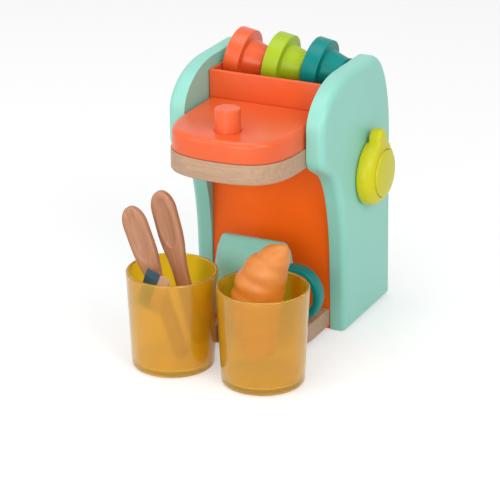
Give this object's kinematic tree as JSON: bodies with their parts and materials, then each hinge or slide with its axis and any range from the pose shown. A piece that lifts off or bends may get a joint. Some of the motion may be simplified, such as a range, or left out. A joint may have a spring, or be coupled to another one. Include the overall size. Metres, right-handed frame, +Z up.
{
  "type": "toy coffee maker",
  "caption": "Play coffee maker with arched side shells, overhanging head with a press knob, turning side dial, rack of play pods, two tumblers, spoons, jug and play pastry.",
  "frame": {"origin": "on the middle plane of the machine, on its flat underside, which is the tabletop's height", "axes": "+Z up, the head and the cup bay point to -Y, +X to the side with the turning dial"},
  "size_m": [0.1548, 0.2305, 0.2255],
  "materials": {
    "mint_plastic": "satin moulded",
    "orange_plastic": "satin moulded",
    "coral_plastic": "glossy moulded",
    "lime_plastic": "satin moulded",
    "green_plastic": "glossy moulded",
    "teal_plastic": "glossy moulded",
    "lid_plastic": "plain",
    "amber_plastic": "transparent, polished",
    "crust_plastic": "baked look",
    "beech_wood": "sanded, clear coat",
    "spoon_wood": "sanded",
    "sachet_paper": "coated film",
    "nylon": "moulded",
    "black_plastic": "moulded",
    "board": "coated board",
    "steel": "plated",
    "rubber": "matt"
  },
  "bodies": {
    "machine": {"right_side_shell": "mint_plastic", "left_side_shell": "mint_plastic", "back_cover": "mint_plastic", "front_wall": "orange_plastic", "bottom_cover": "orange_plastic", "cup_platform": "beech_wood", "drip_grille": "coral_plastic", "head_plate": "beech_wood", "head_cover": "coral_plastic", "brew_spout": "coral_plastic", "pod_rack": "coral_plastic", "rubber_pad_1": "rubber", "rubber_pad_2": "rubber", "rubber_pad_3": "rubber", "rubber_pad_4": "rubber", "mechanism_bracket": "nylon", "click_spring": "steel", "bracket_screw_1": "steel", "bracket_screw_2": "steel", "circuit_board": "board", "sound_switch": "black_plastic", "sound_chip": "black_plastic", "speaker": "black_plastic", "battery_box": "black_plastic", "battery_door": "orange_plastic", "battery_1": "steel", "battery_2": "steel", "battery_contact_left": "steel", "battery_contact_right": "steel", "door_screw": "steel", "cover_screw_1": "steel", "cover_screw_2": "steel", "cover_screw_3": "steel", "cover_screw_4": "steel", "knob_spring": "steel"},
    "knob": {"brew_knob": "coral_plastic"},
    "dial": {"side_dial": "lime_plastic", "dial_cap": "lime_plastic", "dial_shaft": "nylon", "click_wheel": "nylon", "dial_screw": "steel"},
    "coral_pod": {"pod_coral_cup": "coral_plastic", "pod_coral_lid": "lid_plastic"},
    "green_pod": {"pod_green_cup": "green_plastic", "pod_green_lid": "lid_plastic"},
    "teal_pod": {"pod_teal_cup": "teal_plastic", "pod_teal_lid": "lid_plastic"},
    "left_tumbler": {"mug_left": "amber_plastic"},
    "right_tumbler": {"mug_right": "amber_plastic"},
    "front_spoon": {"spoon_front": "spoon_wood"},
    "back_spoon": {"spoon_back": "spoon_wood"},
    "sachet": {"sugar_sachet": "sachet_paper"},
    "pastry": {"croissant": "crust_plastic"},
    "jug": {"jug_body": "mint_plastic", "jug_base": "mint_plastic", "jug_handle": "teal_plastic"}
  },
  "joints": [
    {"name": "knob_press", "type": "slide", "parent": "machine", "child": "knob", "axis": [0, 0, -1], "range_m": [0, 0.005], "stiffness_N_per_m": 400, "springref_m": -0.002, "deforming": ["knob_spring"]},
    {"name": "dial_turn", "type": "hinge", "parent": "machine", "child": "dial", "pos_m": [0.0655, 0.045, 0.1225], "axis": [1, 0, 0], "range_deg": [-90, 90]},
    {"name": "coral_pod_lift", "type": "slide", "parent": "machine", "child": "coral_pod", "axis": [0.1736, 0, 0.9848], "range_m": [0, 0.05]},
    {"name": "green_pod_lift", "type": "slide", "parent": "machine", "child": "green_pod", "axis": [0.1736, 0, 0.9848], "range_m": [0, 0.05]},
    {"name": "teal_pod_lift", "type": "slide", "parent": "machine", "child": "teal_pod", "axis": [0.1736, 0, 0.9848], "range_m": [0, 0.05]},
    {"name": "left_tumbler_out", "type": "slide", "parent": "machine", "child": "left_tumbler", "axis": [0, -0.898, 0.44], "range_m": [0, 0.12]},
    {"name": "right_tumbler_out", "type": "slide", "parent": "machine", "child": "right_tumbler", "axis": [0, -0.898, 0.44], "range_m": [0, 0.12]},
    {"name": "front_spoon_out", "type": "slide", "parent": "left_tumbler", "child": "front_spoon", "axis": [-0.3535, 0, 0.9354], "range_m": [0, 0.1]},
    {"name": "back_spoon_out", "type": "slide", "parent": "left_tumbler", "child": "back_spoon", "axis": [-0.2622, 0, 0.965], "range_m": [0, 0.1]},
    {"name": "sachet_out", "type": "slide", "parent": "left_tumbler", "child": "sachet", "axis": [0.3419, 0, 0.9397], "range_m": [0, 0.06]},
    {"name": "pastry_out", "type": "slide", "parent": "right_tumbler", "child": "pastry", "axis": [0, -0.14, 0.9901], "range_m": [0, 0.1]},
    {"name": "jug_out", "type": "slide", "parent": "machine", "child": "jug", "axis": [0.9404, 0, 0.3401], "range_m": [0, 0.13]}
  ]
}
